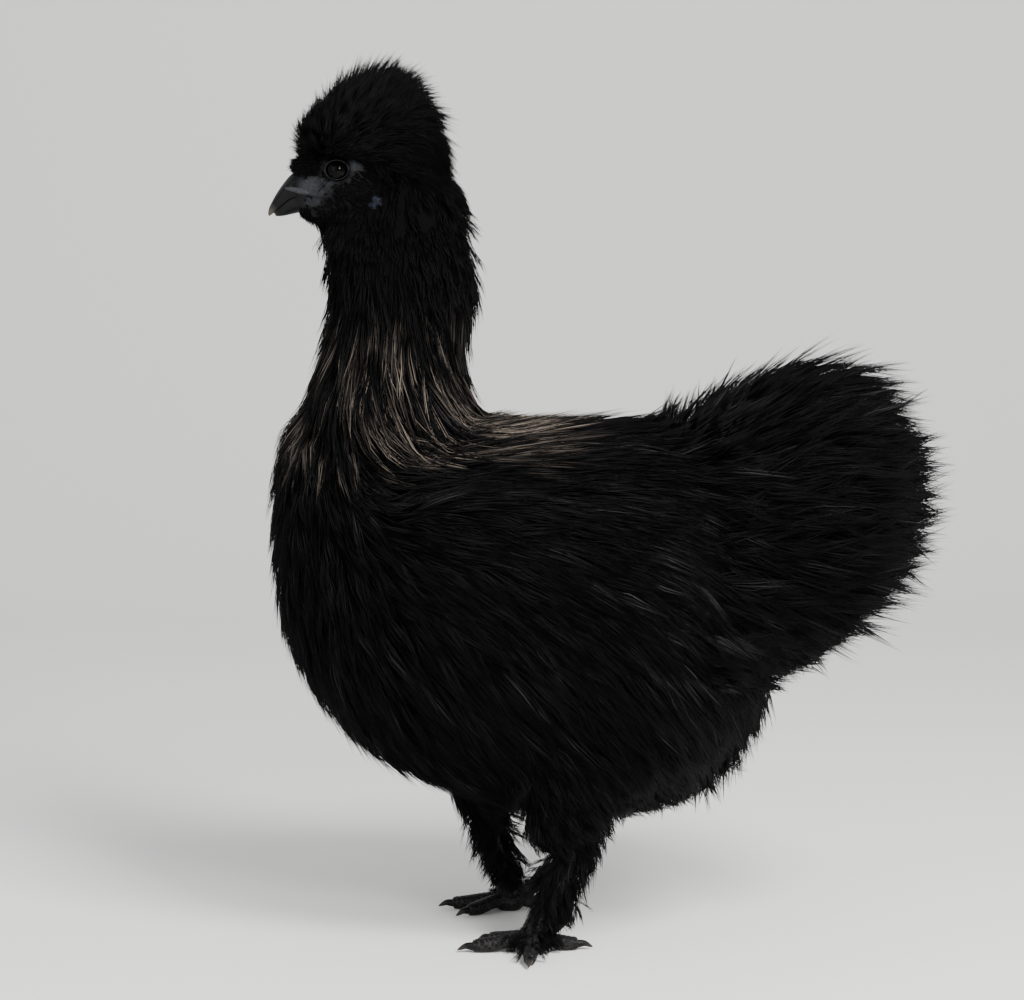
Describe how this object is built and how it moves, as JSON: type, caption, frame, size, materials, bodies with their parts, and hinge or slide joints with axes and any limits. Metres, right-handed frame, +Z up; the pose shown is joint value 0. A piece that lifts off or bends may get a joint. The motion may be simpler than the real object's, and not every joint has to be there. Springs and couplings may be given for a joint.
{
  "type": "silkie chicken model",
  "caption": "Life-size still model of a young black silkie chicken standing upright, with fluffy crest, hackle, cushion tail and feathered feet.",
  "frame": {"origin": "on the floor under the middle of the bird's bounding box", "axes": "+X forward along the beak, +Y to the bird's left, +Z up"},
  "size_m": [0.2448, 0.136, 0.312],
  "materials": {
    "black_coat": "soft black silky feathers, matt with a faint grey sheen",
    "slate_skin": "dark slate skin and shank scales",
    "face_skin": "bare grey facial skin, fine-grained",
    "lobe_skin": "bluish bare skin, fine-grained",
    "comb_skin": "mulberry black comb skin",
    "beak_horn": "dark slate horn with a pale tip, semi-gloss",
    "claw_horn": "dark horn, semi-gloss",
    "eye": "very dark brown eye with a black pupil, wet gloss"
  },
  "bodies": {
    "root": {"beak_lower": "beak_horn", "beak_upper": "beak_horn", "claw_left_1": "claw_horn", "claw_left_2": "claw_horn", "claw_left_3": "claw_horn", "claw_left_4": "claw_horn", "claw_left_5": "claw_horn", "claw_right_1": "claw_horn", "claw_right_2": "claw_horn", "claw_right_3": "claw_horn", "claw_right_4": "claw_horn", "claw_right_5": "claw_horn", "comb": "comb_skin", "crest": "black_coat", "earlobe_left": "lobe_skin", "earlobe_right": "lobe_skin", "eye_left": "eye", "eye_right": "eye", "foot_left": "slate_skin", "foot_right": "slate_skin", "head": "face_skin", "neck": "black_coat", "shank_left": "slate_skin", "shank_right": "slate_skin", "tail": "black_coat", "thigh_left": "black_coat", "thigh_right": "black_coat", "torso": "black_coat", "wattle_left": "comb_skin", "wattle_right": "comb_skin", "wing_left": "black_coat", "wing_right": "black_coat"}
  },
  "joints": []
}
